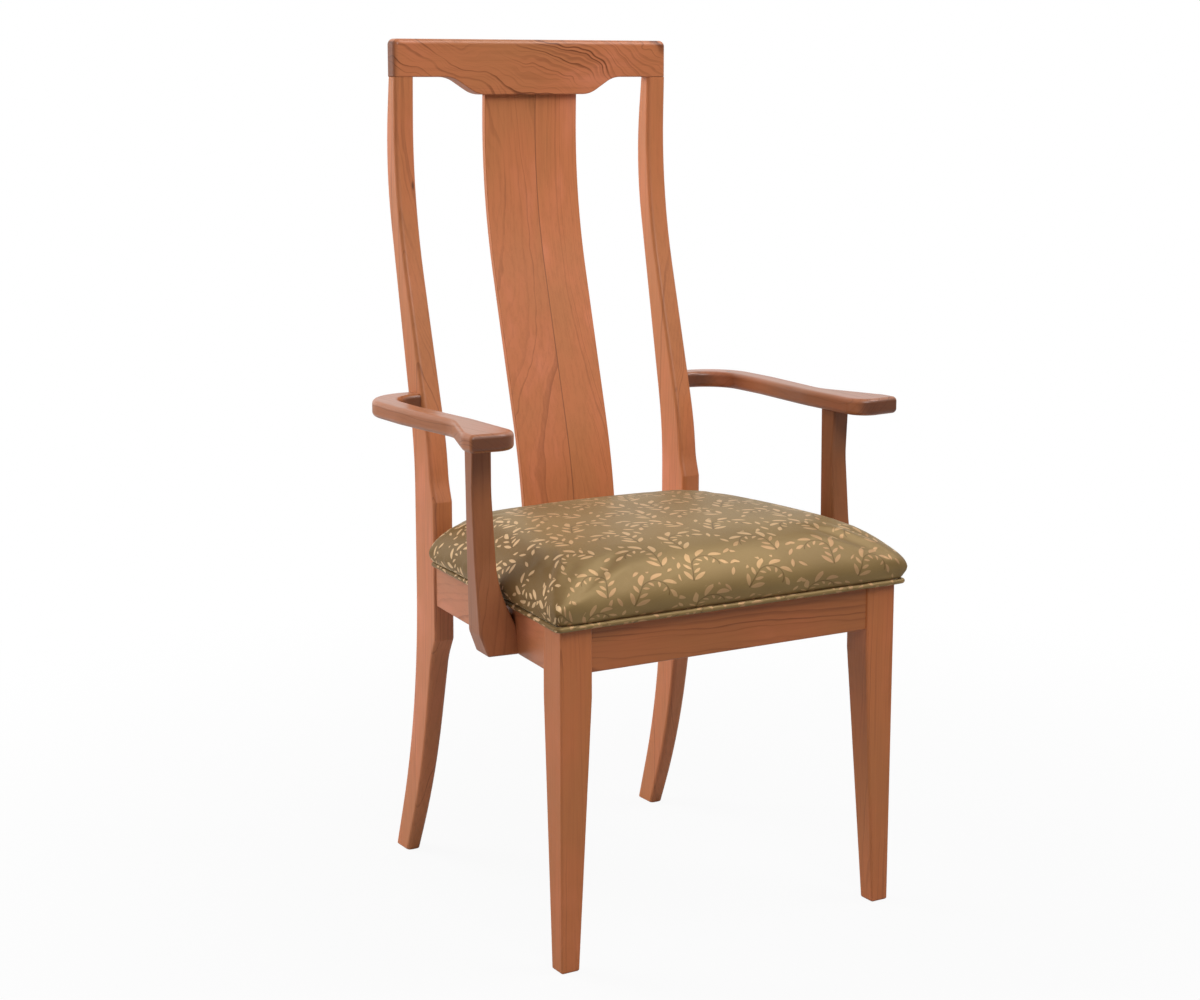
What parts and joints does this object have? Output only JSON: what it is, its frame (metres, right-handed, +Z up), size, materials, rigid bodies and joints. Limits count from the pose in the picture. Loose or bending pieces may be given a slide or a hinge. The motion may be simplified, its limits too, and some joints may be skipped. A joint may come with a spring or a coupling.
{
  "type": "dining armchair",
  "caption": "Wooden dining armchair with sabre back feet, curved back posts, scalloped crest, plain splat, open arms and a crowned upholstered seat with a welt.",
  "frame": {"origin": "on the floor, at the middle of the chair's width and depth", "axes": "+X to the right seen from the front, +Y to the back, +Z up; the front of the seat faces -Y"},
  "size_m": [0.624, 0.5364, 1.098],
  "materials": {
    "frame_wood": "satin cherry",
    "inner_wood": "unfinished",
    "screw_steel": "zinc",
    "upholstery": "olive satin weave with pale gold leaf sprigs",
    "welt": "olive satin weave",
    "foam": "open-cell foam",
    "dust_cover": "black non-woven"
  },
  "bodies": {
    "root": {"back_post_left": "frame_wood", "back_post_right": "frame_wood", "front_leg_left": "frame_wood", "front_leg_right": "frame_wood", "side_seat_rail_left": "frame_wood", "side_seat_rail_right": "frame_wood", "front_seat_rail": "frame_wood", "back_seat_rail": "frame_wood", "crest_rail": "frame_wood", "splat_board_left": "frame_wood", "splat_board_right": "frame_wood", "arm_left": "frame_wood", "arm_right": "frame_wood", "arm_support_left": "frame_wood", "arm_support_right": "frame_wood", "corner_block_front_left": "inner_wood", "corner_block_front_right": "inner_wood", "corner_block_back_left": "inner_wood", "corner_block_back_right": "inner_wood", "seat_board": "inner_wood", "arm_dowels": "inner_wood", "support_dowels": "inner_wood", "corner_block_screws": "screw_steel", "seat_screws": "screw_steel", "arm_support_screws": "screw_steel", "seat_cover": "upholstery", "seat_welt": "welt", "seat_foam": "foam", "seat_dust_cover": "dust_cover"}
  },
  "joints": []
}
